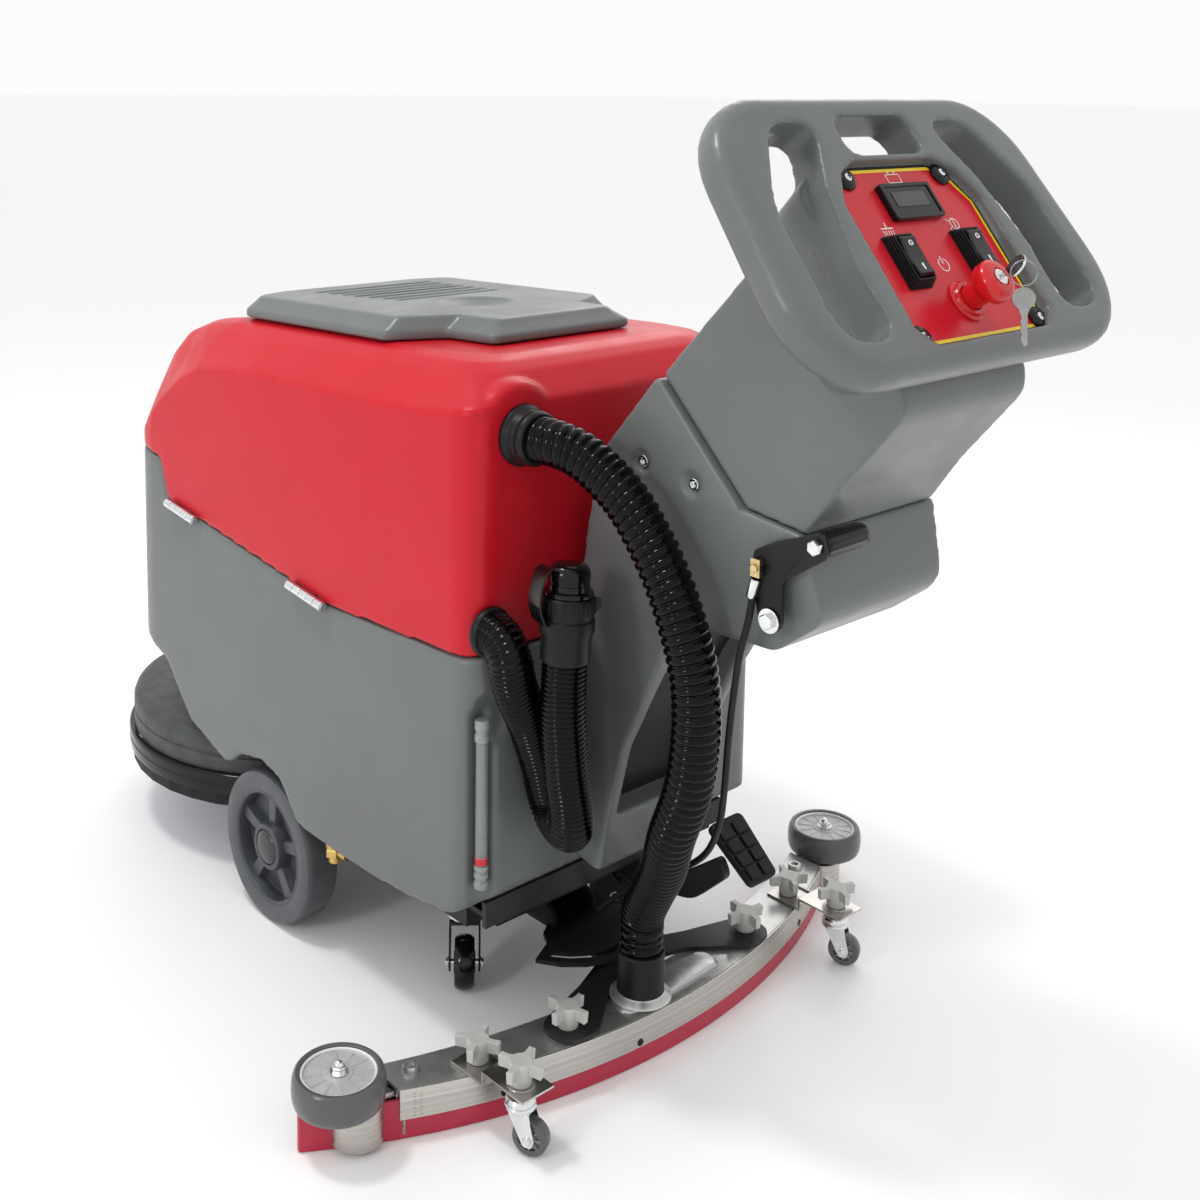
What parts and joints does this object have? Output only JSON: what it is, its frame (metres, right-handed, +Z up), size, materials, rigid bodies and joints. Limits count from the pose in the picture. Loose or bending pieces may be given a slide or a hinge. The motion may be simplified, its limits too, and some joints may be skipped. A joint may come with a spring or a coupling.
{
  "type": "walk-behind floor scrubber",
  "caption": "Walk-behind floor scrubber: tipping recovery tank with lid, lower tank, disc brush deck, operator console with loop handle, and curved squeegee on casters",
  "frame": {"origin": "middle of the machine's footprint, on the floor", "axes": "+X the machine's left side, +Y its rear where the operator stands, +Z up"},
  "size_m": [0.872, 1.3876, 1.0422],
  "materials": {
    "grey_moulding": "satin rotomoulded grey plastic",
    "red_moulding": "satin rotomoulded red plastic",
    "red_gloss": "smooth red plastic",
    "black_steel": "black powder coat",
    "black_plastic": "black moulded plastic",
    "black_gloss": "shiny black plastic",
    "black_rubber": "black rubber",
    "grey_rubber": "dark grey rubber",
    "deck_grey": "dark grey moulded plastic",
    "knob_grey": "light grey moulded plastic",
    "blade_red": "crimson polyurethane blade",
    "bristle": "nylon bristle block",
    "aluminium": "silver painted cast aluminium",
    "steel": "stainless steel",
    "chrome": "bright plating",
    "brass": "machined brass",
    "clear_tube": "clear flexible tube"
  },
  "bodies": {
    "machine": {"chassis_frame": "black_steel", "solution_tank": "grey_moulding", "battery_1": "black_plastic", "battery_2": "black_plastic", "vacuum_motor": "black_plastic", "column_housing": "grey_moulding", "handle_head": "grey_moulding", "control_panel": "red_moulding", "display_meter": "black_plastic", "sight_tube": "clear_tube", "solution_valve": "brass", "hinge_front": "chrome", "hinge_rear": "chrome", "suction_hose": "black_gloss", "lift_cable": "black_rubber"},
    "upper_tank": {"recovery_tank": "red_moulding", "suction_elbow": "black_rubber", "drain_hose": "black_gloss", "drain_cuff": "black_rubber"},
    "tank_lid": {"lid": "grey_moulding"},
    "drain_plug": {"drain_cap": "black_rubber"},
    "pedal": {"pedal_arm": "black_steel", "pedal_pad": "black_rubber"},
    "deck_lift_arm": {"deck_arm": "black_steel"},
    "deck": {"deck_cover": "deck_grey", "deck_skirt": "black_rubber", "brush_motor": "black_steel"},
    "scrub_brush": {"brush": "bristle"},
    "lever": {"lift_lever": "black_steel", "lever_grip": "black_gloss"},
    "squeegee_lift_plate": {"lift_plate": "black_steel"},
    "squeegee": {"squeegee_bracket": "black_steel", "squeegee_body": "aluminium", "blade_front": "blade_red", "blade_rear": "blade_red", "hose_cuff": "black_rubber", "squeegee_bracket_left": "steel", "squeegee_bracket_right": "steel"},
    "estop": {"estop_button": "red_gloss"},
    "ignition_key": {"key": "chrome"},
    "drive_wheel_left": {"wheel_left": "grey_rubber"},
    "drive_wheel_right": {"wheel_right": "grey_rubber"},
    "caster_left": {"caster_fork_left": "black_steel"},
    "caster_left_roller": {"caster_wheel_left": "black_gloss"},
    "caster_right": {"caster_fork_right": "black_steel"},
    "caster_right_roller": {"caster_wheel_right": "black_gloss"},
    "bumper_left": {"bumper_wheel_left": "grey_rubber"},
    "squeegee_caster_left": {"squeegee_fork_left": "chrome"},
    "squeegee_roller_left": {"squeegee_wheel_left": "grey_rubber"},
    "bracket_knob_left": {"knob_bracket_left": "knob_grey"},
    "height_knob_left": {"knob_height_left": "knob_grey"},
    "mount_knob_left": {"knob_mount_left": "knob_grey"},
    "bumper_right": {"bumper_wheel_right": "grey_rubber"},
    "squeegee_caster_right": {"squeegee_fork_right": "chrome"},
    "squeegee_roller_right": {"squeegee_wheel_right": "grey_rubber"},
    "bracket_knob_right": {"knob_bracket_right": "knob_grey"},
    "height_knob_right": {"knob_height_right": "knob_grey"},
    "mount_knob_right": {"knob_mount_right": "knob_grey"},
    "rocker_left": {"rocker_switch_left": "black_gloss"},
    "rocker_right": {"rocker_switch_right": "black_gloss"}
  },
  "joints": [
    {"name": "tank_tilt", "type": "hinge", "parent": "machine", "child": "upper_tank", "pos_m": [0.235, -0.18233, 0.47118], "axis": [0, 0.9928, -0.1195], "range_deg": [0, 80], "deforming": ["suction_hose", "drain_hose"]},
    {"name": "lid_hinge", "type": "hinge", "parent": "upper_tank", "child": "tank_lid", "pos_m": [0, 0.11767, 0.7695], "axis": [1, 0, 0], "range_deg": [-95, 0]},
    {"name": "drain_cap_lift", "type": "slide", "parent": "upper_tank", "child": "drain_plug", "axis": [-0.0672, -0.0168, 0.9976], "range_m": [0, 0.05]},
    {"name": "drive_wheel_left_spin", "type": "hinge", "parent": "machine", "child": "drive_wheel_left", "pos_m": [0.2001, -0.18233, 0.0964], "axis": [1, 0, 0], "continuous": true},
    {"name": "drive_wheel_right_spin", "type": "hinge", "parent": "machine", "child": "drive_wheel_right", "pos_m": [-0.2001, -0.18233, 0.0964], "axis": [1, 0, 0], "continuous": true},
    {"name": "caster_left_swivel", "type": "hinge", "parent": "machine", "child": "caster_left", "pos_m": [0.103, 0.06767, 0.0745], "axis": [0, 0, 1], "continuous": true},
    {"name": "caster_left_roll", "type": "hinge", "parent": "caster_left", "child": "caster_left_roller", "pos_m": [0.12228, 0.09065, 0.031], "axis": [0.766, -0.6428, 0], "continuous": true},
    {"name": "caster_right_swivel", "type": "hinge", "parent": "machine", "child": "caster_right", "pos_m": [-0.103, 0.06767, 0.0745], "axis": [0, 0, 1], "continuous": true},
    {"name": "caster_right_roll", "type": "hinge", "parent": "caster_right", "child": "caster_right_roller", "pos_m": [-0.12664, 0.08614, 0.031], "axis": [0.6157, 0.788, 0], "continuous": true},
    {"name": "pedal_press", "type": "hinge", "parent": "machine", "child": "pedal", "pos_m": [-0.061, 0.09266, 0.125], "axis": [1, 0, 0], "range_deg": [-8, 0]},
    {"name": "deck_lift", "type": "hinge", "parent": "machine", "child": "deck_lift_arm", "pos_m": [0, -0.16234, 0.2], "axis": [1, 0, 0], "range_deg": [0, 14.34]},
    {"name": "deck_level", "type": "hinge", "parent": "deck_lift_arm", "child": "deck", "pos_m": [0, -0.37733, 0.215], "axis": [1, 0, 0], "range_deg": [-14.34, 0]},
    {"name": "brush_spin", "type": "hinge", "parent": "deck", "child": "scrub_brush", "pos_m": [0, -0.45433, 0.1], "axis": [0, 0, 1], "continuous": true},
    {"name": "lever_swing", "type": "hinge", "parent": "machine", "child": "lever", "pos_m": [0.1078, 0.51767, 0.564], "axis": [1, 0, 0], "range_deg": [-70, 0], "deforming": ["lift_cable"]},
    {"name": "squeegee_lift", "type": "hinge", "parent": "machine", "child": "squeegee_lift_plate", "pos_m": [0, 0.07266, 0.118], "axis": [1, 0, 0], "range_deg": [0, 9.01], "deforming": ["suction_hose"]},
    {"name": "squeegee_swing", "type": "hinge", "parent": "squeegee_lift_plate", "child": "squeegee", "pos_m": [0, 0.13767, 0.065], "axis": [0, 0, 1], "range_deg": [-20, 20], "deforming": ["suction_hose"]},
    {"name": "bumper_left_spin", "type": "hinge", "parent": "squeegee", "child": "bumper_left", "pos_m": [0.3885, 0.21866, 0.066], "axis": [0, 0, 1], "continuous": true},
    {"name": "squeegee_caster_left_swivel", "type": "hinge", "parent": "squeegee", "child": "squeegee_caster_left", "pos_m": [0.254, 0.33866, 0.05], "axis": [0, 0, 1], "continuous": true},
    {"name": "squeegee_caster_left_roll", "type": "hinge", "parent": "squeegee_caster_left", "child": "squeegee_roller_left", "pos_m": [0.24893, 0.34954, 0.019], "axis": [0.9063, 0.4226, 0], "continuous": true},
    {"name": "bracket_knob_left_turn", "type": "hinge", "parent": "squeegee", "child": "bracket_knob_left", "pos_m": [0.251, 0.26878, 0.0584], "axis": [0, 0, 1], "continuous": true},
    {"name": "height_knob_left_turn", "type": "hinge", "parent": "squeegee", "child": "height_knob_left", "pos_m": [0.254, 0.33866, 0.0718], "axis": [0, 0, 1], "continuous": true},
    {"name": "mount_knob_left_turn", "type": "hinge", "parent": "squeegee", "child": "mount_knob_left", "pos_m": [0.144, 0.28967, 0.061], "axis": [0, 0, 1], "continuous": true},
    {"name": "bumper_right_spin", "type": "hinge", "parent": "squeegee", "child": "bumper_right", "pos_m": [-0.3885, 0.21866, 0.066], "axis": [0, 0, 1], "continuous": true},
    {"name": "squeegee_caster_right_swivel", "type": "hinge", "parent": "squeegee", "child": "squeegee_caster_right", "pos_m": [-0.254, 0.33866, 0.05], "axis": [0, 0, 1], "continuous": true},
    {"name": "squeegee_caster_right_roll", "type": "hinge", "parent": "squeegee_caster_right", "child": "squeegee_roller_right", "pos_m": [-0.25907, 0.34954, 0.019], "axis": [0.9063, 0.4226, 0], "continuous": true},
    {"name": "bracket_knob_right_turn", "type": "hinge", "parent": "squeegee", "child": "bracket_knob_right", "pos_m": [-0.251, 0.26878, 0.0584], "axis": [0, 0, 1], "continuous": true},
    {"name": "height_knob_right_turn", "type": "hinge", "parent": "squeegee", "child": "height_knob_right", "pos_m": [-0.254, 0.33866, 0.0718], "axis": [0, 0, 1], "continuous": true},
    {"name": "mount_knob_right_turn", "type": "hinge", "parent": "squeegee", "child": "mount_knob_right", "pos_m": [-0.144, 0.28967, 0.061], "axis": [0, 0, 1], "continuous": true},
    {"name": "rocker_left_tip", "type": "hinge", "parent": "machine", "child": "rocker_left", "pos_m": [0.0525, 0.61154, 0.90358], "axis": [1, 0, 0], "range_deg": [-8, 8]},
    {"name": "rocker_right_tip", "type": "hinge", "parent": "machine", "child": "rocker_right", "pos_m": [-0.0525, 0.61154, 0.90358], "axis": [1, 0, 0], "range_deg": [-8, 8]},
    {"name": "estop_press", "type": "slide", "parent": "machine", "child": "estop", "axis": [0, -0.7912, -0.6115], "range_m": [0, 0.005], "stiffness_N_per_m": 600},
    {"name": "key_turn", "type": "hinge", "parent": "estop", "child": "ignition_key", "pos_m": [0, 0.66983, 0.89176], "axis": [0, 0.7912, 0.6115], "range_deg": [0, 90]}
  ],
  "couplings": [
    {"joint": "deck_lift", "follows": "pedal_press", "ratio": -1.7917},
    {"joint": "deck_level", "follows": "pedal_press", "ratio": 1.7917},
    {"joint": "squeegee_lift", "follows": "lever_swing", "ratio": -0.12857}
  ]
}
